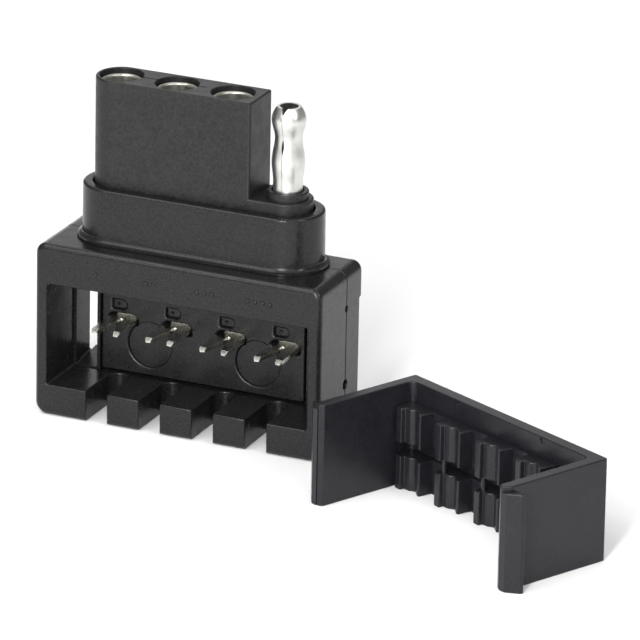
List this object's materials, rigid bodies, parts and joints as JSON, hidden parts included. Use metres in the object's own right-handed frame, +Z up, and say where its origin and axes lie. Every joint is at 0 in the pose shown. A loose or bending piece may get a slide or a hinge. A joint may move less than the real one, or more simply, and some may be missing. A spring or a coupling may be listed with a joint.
{
  "type": "trailer wiring connector",
  "caption": "Flat trailer wiring plug with sockets and a bullet pin on a splice housing with forked blades over a wire comb, beside its detached U-shaped clip-on cover.",
  "frame": {"origin": "middle of the housing's underside, on the middle tooth of the comb floor, halfway through the housing's depth", "axes": "+X along the housing toward the bullet pin, +Y from the wire side to the back, +Z up toward the plug"},
  "size_m": [0.1207, 0.0601, 0.0639],
  "materials": {
    "housing_plastic": "moulded black plastic with a fine satin texture",
    "plug_plastic": "moulded black plastic, slightly softer and duller than the housing",
    "insert_plastic": "moulded black plastic",
    "cover_plastic": "moulded black plastic with a light satin sheen",
    "sleeve_metal": "tin-plated brass strip, rolled",
    "bright_plating": "bright nickel-plated strip, rolled and stamped"
  },
  "bodies": {
    "connector": {"front_frame": "housing_plastic", "rear_shell": "housing_plastic", "collar": "housing_plastic", "plug_body": "plug_plastic", "terminal_block": "insert_plastic", "socket_sleeve_1": "sleeve_metal", "socket_sleeve_2": "sleeve_metal", "socket_sleeve_3": "sleeve_metal", "bullet_pin": "bright_plating", "splice_terminal_1": "bright_plating", "splice_terminal_2": "bright_plating", "splice_terminal_3": "bright_plating", "splice_terminal_4": "bright_plating"},
    "cover": {"wire_cover": "cover_plastic"}
  },
  "joints": [
    {"name": "cover_swing", "type": "hinge", "parent": "connector", "child": "cover", "pos_m": [0.03252, -0.01842, 0], "axis": [0, 0, 1], "range_deg": [-153.8, 0]}
  ]
}
